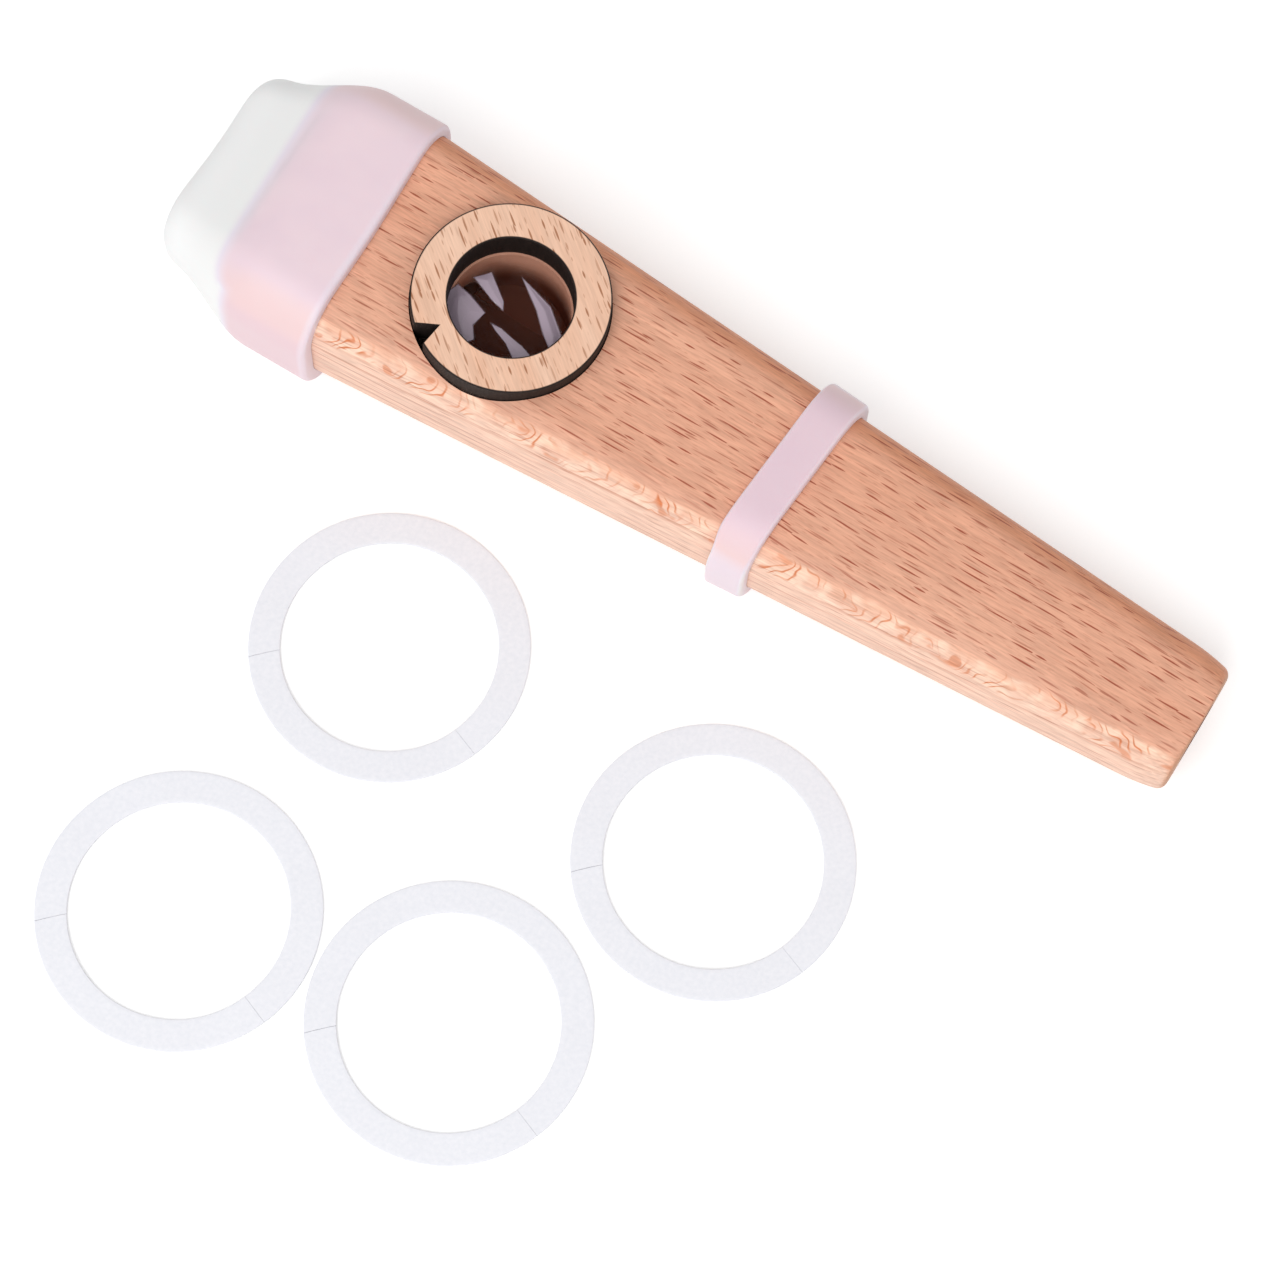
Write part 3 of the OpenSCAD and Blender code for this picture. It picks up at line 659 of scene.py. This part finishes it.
# The tip's round is a quarter circle, less deep where the slot comes near the skin.
quarter = np.radians(np.linspace(0, 90, 13))
tip_x = TIP_R * (1 - np.sin(quarter)) - LIP_LEN
full_tip = skin_sections(tip_x, np.zeros(len(tip_x)))
slot_tip = slot_sections(tip_x)
wall = np.linalg.norm(full_tip - slot_tip, axis=2)
inset = np.minimum(TIP_R, wall - SLOT_EDGE - TIP_FLAT) * (1 - np.cos(quarter))[:, None]
tip = along_x(tip_x, full_tip + (slot_tip - full_tip) * (inset / wall)[:, :, None])[::-1]

# The lip's flat end runs in to the slot, whose edge is rounded over.
in_shares = np.array([1, 0.85, 0.6, 0.3, 0])
back_shares = np.array([1, 0.35, 0.08, 0, 0])
slot_mouth = along_x([-LIP_LEN], slot_sections(np.zeros(1)))
flat = tip[:1] + (slot_mouth - tip[:1]) * in_shares[:, None, None]
flat[:, :, 0] = -LIP_LEN + SLOT_EDGE * back_shares[:, None]

# The rows go on from the tip over the skin to the rim, back in along the pocket and out
# through the slot.
long_x = np.linspace(TIP_R - LIP_LEN, COVER_LEN - RIM_R, 46)[1:-1]
rim_turn = np.radians(np.linspace(0, 90, 7))
rim_x = COVER_LEN - RIM_R * (1 - np.sin(rim_turn))
in_x = np.concatenate([np.linspace(COVER_LEN, CORNER_R, 10), CORNER_R * (1 - np.sin(quarter))[1:]])
in_x = in_x - SLEEVE_FIT * (1 - in_x / COVER_LEN)
slot_x = np.linspace(-SLEEVE_FIT, SLOT_EDGE - LIP_LEN, 8)[:-1]
rows = np.concatenate([
    flat[:-1], tip, along_x(long_x, skin_sections(long_x, np.zeros(len(long_x)))),
    along_x(rim_x, skin_sections(rim_x, RIM_R * (1 - np.cos(rim_turn)))),
    along_x(in_x, pocket_sections(in_x)), along_x(slot_x, slot_sections(slot_x))])
rows[:, :, 0] -= RIM_ASKEW * eased(rows[:, :, 1], *ASKEW_Y) * eased(rows[:, :, 0], *ASKEW_X)
mouthpiece = surface("silicone_mouthpiece", rows, joined=True)
wood_end = drawn_in(CORNER_R, np.maximum(0, wood_width(0) / 2 - np.abs(rows[:, :, 1])))
onto_wood = rows[:, :, 0] - CORNER_SEEN * wood_end + PULLED_ASKEW * rows[:, :, 1]
covered = COVERED * eased(onto_wood, *COVERED_X)
covered *= 1 - PALE_RIM * eased(rows[:, :, 0], *PALE_RIM_X)
cover = mouthpiece.data.attributes.new("cover", "FLOAT", "POINT")
cover.data.foreach_set("value", covered.ravel())

# Silicone rubber: milky, soft and nearly matt, lavender where it thins towards the
# wood. The cover attribute says how much the wood shows: 0 in the lip, 0.8 on the
# sleeve, 1 on top of the thinner band and half as much round its sides.
silicone = finish("translucent_silicone", Roughness=0.42, IOR=1.41, Specular_IOR_Level=0.4,
                  Subsurface_Weight=0.35, Subsurface_Scale=0.8 * MM, Subsurface_Radius=(1, 0.8, 0.8))
over_wood = add(silicone, "Attribute", {}, attribute_name="cover")
place = add(silicone, "TexCoord", {})
face = add(silicone, "SeparateXYZ", {0: place.outputs["Normal"]})
place = place.outputs["Object"]
cloud = add(silicone, "Mapping", {"Vector": place, "Scale": per_mm(9, 6, 6)})
cloud = add(silicone, "TexNoise", {"Vector": cloud, "Scale": 1, "Detail": 2})
cloud = add(silicone, "MapRange", {0: cloud, 1: 0.35, 2: 0.65})
pink = add(silicone, "MixRGB", {0: cloud, 1: paint(PINK), 2: paint(PINK_CLOUD)})
sideways = add(silicone, "Math", {0: face.outputs["Y"]}, operation="ABSOLUTE")
# A peach band along the rounded edges is painted highlight.
shoulder = add(silicone, "Math", {0: face.outputs["Z"]}, operation="ABSOLUTE")
shoulder = add(silicone, "Math", {0: sideways, 1: shoulder}, operation="MULTIPLY")
shoulder = add(silicone, "MapRange", {0: shoulder, 1: 0.28, 2: 0.5, 3: 0, 4: 0.6},
               interpolation_type="SMOOTHSTEP")
# The sides take a deeper pink: painted shade, set against the lamp's light on them.
sideways = add(silicone, "MapRange", {0: sideways, 1: 0.4, 2: 0.95}, interpolation_type="SMOOTHSTEP")
pink = add(silicone, "MixRGB", {0: sideways, 1: pink, 2: paint(PINK_SIDE_SHADE)})
pink = add(silicone, "MixRGB", {0: shoulder, 1: pink, 2: paint(PINK_SHOULDER_HIGHLIGHT)})
thinning = add(silicone, "MapRange", {0: over_wood.outputs["Fac"], 2: 0.3})
thin = add(silicone, "MapRange", {0: over_wood.outputs["Fac"], 1: 0.3, 2: 0.8})
thinnest = add(silicone, "MapRange", {0: over_wood.outputs["Fac"], 1: 0.8, 4: 0.5})
# The lip's white is a touch greyer at its tip than towards the sleeve: painted shade.
from_tip = add(silicone, "SeparateXYZ", {0: place}).outputs["X"]
from_tip = add(silicone, "MapRange", {0: from_tip, 1: -(LIP_LEN + ORIGIN_X) * MM, 2: -ORIGIN_X * MM})
milky = add(silicone, "MixRGB", {0: from_tip, 1: paint(MILKY_TIP), 2: paint(MILKY)})
colour = add(silicone, "MixRGB", {0: thinning, 1: milky, 2: paint(LAVENDER)})
colour = add(silicone, "MixRGB", {0: thin, 1: colour, 2: pink})
on_top_only = add(silicone, "Math", {0: 1, 1: sideways}, operation="SUBTRACT")
thinnest = add(silicone, "Math", {0: thinnest, 1: on_top_only}, operation="MULTIPLY")
colour = add(silicone, "MixRGB", {0: thinnest, 1: colour, 2: paint(PINK_BAND)})
skin = add(silicone, "Mapping", {"Vector": place, "Scale": per_mm(0.5, 0.5, 0.5)})
skin = add(silicone, "TexNoise", {"Vector": skin, "Scale": 1, "Detail": 3})
skin = add(silicone, "Bump", {"Height": skin, "Strength": 0.15, "Distance": 0.03 * MM})
dress(silicone, Base_Color=colour, Normal=skin)
mouthpiece.data.materials.append(silicone)
smooth(mouthpiece, 50)
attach(mouthpiece, "mouthpiece")
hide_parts("mouthpiece")


# Grip band
# A narrow band of the same silicone, stretched round the taper and pushed a
# little askew. Its edges are rounded and it takes the wood's section.

BAND_W, BAND_X, BAND_SKEW, BAND_EDGE = 4.9, 65.3, np.radians(4), 0.5
BAND_DRAWN, BAND_DRAWN_Y = 0.5, (9, 12)   # mm by which its near side is narrower, and where
SKEW_EASE, BAND_MIDDLE_Z = 4, 8   # the skew's fit sets in over this, and upwards from here
PALE_EDGE, PALE_EDGE_AT = 0.4, (BAND_W / 2 - 0.4, BAND_W / 2 - 0.1)
PALE_SIDE, PALE_SIDE_Y = 0.5, (10.5, 12.3)   # the wood shows less at its edges and sides

# Across the band, each point stands off the wood by its lift, with the outer edges
# rounded. Round the band, each takes the wood's size where the skew puts it.
corner = np.radians(np.linspace(0, 90, 6))
out = SLEEVE_FIT + (SLEEVE_WALL - BAND_EDGE) + BAND_EDGE * np.sin(corner)
side_on = BAND_W / 2 - BAND_EDGE + BAND_EDGE * np.cos(corner)
across = np.concatenate([side_on, [BAND_W / 4, 0, -BAND_W / 4], -side_on[::-1],
                         [-side_on[0], -side_on[0] / 2, 0, side_on[0] / 2, side_on[0]]])
lift = np.concatenate([out, np.full(3, out[-1]), out[::-1], np.full(5, SLEEVE_FIT)])
sections = round_box(wood_width(BAND_X + across) / 2 + lift, WOOD_Z - lift,
                     WOOD_Z + wood_height(BAND_X + across) + lift, EDGE_R + lift, ARC, SIDE)
skewed = BAND_X + (across[:, None] + sections[:, :, 0] * np.sin(BAND_SKEW)) / np.cos(BAND_SKEW)
narrowing = (wood_width(skewed) - wood_width(BAND_X + across[:, None])) / 2
sections[:, :, 0] += np.clip(sections[:, :, 0] / SKEW_EASE, -1, 1) * narrowing
thinning = wood_height(skewed) - wood_height(BAND_X + across[:, None])
sections[:, :, 1] += np.clip((sections[:, :, 1] - BAND_MIDDLE_Z) / SKEW_EASE, 0, 1) * thinning
near_side = eased(-sections[:, :, 0], *BAND_DRAWN_Y)
skewed += BAND_DRAWN * near_side * np.clip(-across[:, None] / (BAND_W / 2), 0, 1)
band = surface("silicone_grip_band", along_x(skewed, sections), joined=True)
covered = 1 - PALE_EDGE * eased(np.abs(across[:, None]), *PALE_EDGE_AT)
covered = covered - PALE_SIDE * eased(np.abs(sections[:, :, 0]), *PALE_SIDE_Y)
cover = band.data.attributes.new("cover", "FLOAT", "POINT")
cover.data.foreach_set("value", covered.ravel())
band.data.materials.append(silicone)
smooth(band, 50)
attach(band, "grip_band")
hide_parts("grip_band")


# Spare membranes
# Four discs of the same film, each stuck to a ring of white paper that is slit
# twice, so that its two arcs peel off. They lie loose on the table.

SPARE_D, PAPER_W, PAPER_T, PAPER_EDGE_R = 31, 3.5, 0.3, 0.08
PAPER_WAVE, PAPER_RIPPLE = 0.05, 0.03   # half heights of its long waves and its short ones
PAPER_DEEP, PAPER_PALE, SPARE_FILM = "#e9eaf0", "#f0f0f5", "#f4f5f8"
SLITS = (215, 339)              # degrees round from +x
SLIT_GAPS = (0.05, 0.02)        # mm; both slits have nearly closed up
SLIT_SLANT = np.radians(10)     # the first was cut that far off square
SPARE_CENTRES = [(36.503, -35.95), (33.217, -72.964), (64.403, -68.159), (79.314, -38.151)]
ARC_STEP = 2                    # degrees from one section of an arc to the next

# Each arc: its name, the slits it runs between, and which of its ends is slanted.
ARCS = [("short", SLITS[0], SLITS[1], (1, 0)), ("long", SLITS[1], SLITS[0] + 360, (0, 1))]

# Uncoated paper: a cool white with a faint fibrous tooth.
paper = finish("uncoated_white_paper", Roughness=0.9, Specular_IOR_Level=0.2)
place = add(paper, "TexCoord", {}).outputs["Object"]
fibre = add(paper, "Mapping", {"Vector": place, "Scale": per_mm(0.5, 0.5, 0.5)})
fibre = add(paper, "TexNoise", {"Vector": fibre, "Scale": 1, "Detail": 4})
tone = add(paper, "MapRange", {0: fibre, 1: 0.3, 2: 0.7})
tone = add(paper, "MixRGB", {0: tone, 1: paint(PAPER_DEEP), 2: paint(PAPER_PALE)})
fibre = add(paper, "Bump", {"Height": fibre, "Strength": 0.3, "Distance": 0.03 * MM})
dress(paper, Base_Color=tone, Normal=fibre)

# The spare film has nothing under it but the table, so only its rim shows.
spare_film = finish("clear_spare_film", Base_Color=paint(SPARE_FILM), Roughness=0.1, IOR=1.45,
                    Alpha=0.06)

middle = (SPARE_D - PAPER_W) / 2
margins = [np.degrees(gap / 2 / middle) for gap in SLIT_GAPS]
for number, (centre_x, centre_y) in enumerate(SPARE_CENTRES, 1):
    for arc, start, end, slants in ARCS:
        share = np.linspace(0, 1, (end - start) // ARC_STEP)[:, None]
        first, last = margins if slants[0] else margins[::-1]
        turn = np.radians(start + first + (end - start - first - last) * share)
        strip = round_box(np.full(len(turn), PAPER_W / 2), 0, PAPER_T, PAPER_EDGE_R, arc=3, side=8)
        radius = middle + strip[:, :, 0]
        slant = np.tan(SLIT_SLANT) * (slants[0] + (slants[1] - slants[0]) * share)
        turn = turn + slant * strip[:, :, 0] / middle
        wave = PAPER_WAVE * (1 + np.sin(3 * turn + number))
        wave += PAPER_RIPPLE * (1 + np.sin(7 * turn + 2 * number))
        rows = np.stack([centre_x + radius * np.cos(turn), centre_y + radius * np.sin(turn),
                         FILM_T + wave + strip[:, :, 1]], axis=-1)
        piece = surface(f"spare_{number}_{arc}_arc", rows)
        piece.data.materials.append(paper)
        smooth(piece, 50)
        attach(piece, f"spare_{number}")
        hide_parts(f"spare_{number}_paper_{arc}")
    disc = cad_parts[f"spare_{number}_film"]
    for slot in disc.material_slots:
        slot.material = spare_film


# Table, lamp and camera
# A white table under an even white sky, with one large soft lamp on the viewer's
# side. The camera looks down on the table at 72 degrees, turned as in the photo.

TABLE_HALF, TABLE_DROP = 2000, 0.02   # half its side, and how far it lies under the object
TABLE_GREY, WHITE = "#f2f2f2", (1, 1, 1, 1)
TABLE_GLOW, SKY_LIGHT = 0.35, 0.62
LOOK_AT = (59.53, -20.76, 0)    # the point on the table in the middle of the picture
TILT, YAW, ROLL = 72.006, 26.592, -4.924
DISTANCE, SENSOR = 450, 36
PIXELS, FOCAL_PIXELS = 1281, 4087   # the picture's side and the focal length, in pixels
LAMP_WAY, LAMP_DISTANCE, LAMP_SIZE, LAMP_WATTS = (-0.35, -0.75, 1.0), 800, 600, 3.75


def seen_directly(surroundings):
    """The greatest of three kinds of ray: 1 where the camera sees this straight, in a
    gloss or through something clear, and 0 where it only sheds light."""
    rays = add(surroundings, "LightPath", {}).outputs
    seen = add(surroundings, "Math", {0: rays["Is Camera Ray"], 1: rays["Is Glossy Ray"]},
               operation="MAXIMUM")
    return add(surroundings, "Math", {0: seen, 1: rays["Is Transmission Ray"]}, operation="MAXIMUM")


table_mesh = bpy.data.meshes.new("table")
corners = np.array([(-1, -1, 0), (1, -1, 0), (1, 1, 0), (-1, 1, 0)]) * TABLE_HALF
table_mesh.from_pydata(((corners - (0, 0, TABLE_DROP)) * MM).tolist(), [], [(0, 1, 2, 3)])
table = bpy.data.objects.new("table", table_mesh)
bpy.context.scene.collection.objects.link(table)
table_top = finish("white_table", Base_Color=paint(TABLE_GREY), Roughness=0.9, Specular_IOR_Level=0.0,
                   Emission_Color=WHITE)
glow = add(table_top, "Math", {0: seen_directly(table_top), 1: TABLE_GLOW}, operation="MULTIPLY")
dress(table_top, Emission_Strength=glow)
table_mesh.materials.append(table_top)

sky = bpy.data.worlds.new("white_sky")
sky.use_nodes = True
bpy.context.scene.world = sky
background = sky.node_tree.nodes["Background"]
strength = add(sky, "MapRange", {0: seen_directly(sky), 3: SKY_LIGHT, 4: 1})
background.inputs["Color"].default_value = WHITE
sky.node_tree.links.new(strength.outputs[0], background.inputs["Strength"])

# The camera's axes before its roll: right, up, and back from the table.
tilt, yaw, roll = np.radians([TILT, YAW, ROLL])
yawed = np.array([[np.cos(yaw), -np.sin(yaw), 0], [np.sin(yaw), np.cos(yaw), 0], [0, 0, 1]])
back = yawed @ (0, -np.cos(tilt), np.sin(tilt))
right = yawed @ (1, 0, 0)
up = yawed @ (0, np.sin(tilt), np.cos(tilt))


def looking(name, data, position, towards_x, towards_y, towards_back):
    """Places a lamp or camera whose own axes point along those three directions."""
    thing = bpy.data.objects.new(name, data)
    matrix = np.eye(4)
    matrix[:3, :3] = np.stack([towards_x, towards_y, towards_back], axis=1)
    matrix[:3, 3] = (position - np.array([ORIGIN_X, 0, 0])) * MM
    thing.matrix_world = Matrix(matrix.tolist())
    bpy.context.scene.collection.objects.link(thing)
    return thing


camera_data = bpy.data.cameras.new("camera")
camera_data.sensor_width = SENSOR
camera_data.lens = FOCAL_PIXELS / PIXELS * SENSOR
camera = looking("camera", camera_data, LOOK_AT + DISTANCE * back,
                 np.cos(roll) * right - np.sin(roll) * up,
                 np.sin(roll) * right + np.cos(roll) * up, back)
bpy.context.scene.camera = camera

# The lamp stands left of the camera.
lamp_back = yawed @ LAMP_WAY
lamp_back /= np.linalg.norm(lamp_back)
lamp_right = np.cross((0, 0, 1), lamp_back)
lamp_right /= np.linalg.norm(lamp_right)
lamp_data = bpy.data.lights.new("soft_lamp", "AREA")
lamp_data.size, lamp_data.energy = LAMP_SIZE * MM, LAMP_WATTS
looking("soft_lamp", lamp_data, LOOK_AT + LAMP_DISTANCE * lamp_back, lamp_right,
        np.cross(lamp_back, lamp_right), lamp_back)

bpy.context.scene.view_settings.view_transform = "Standard"
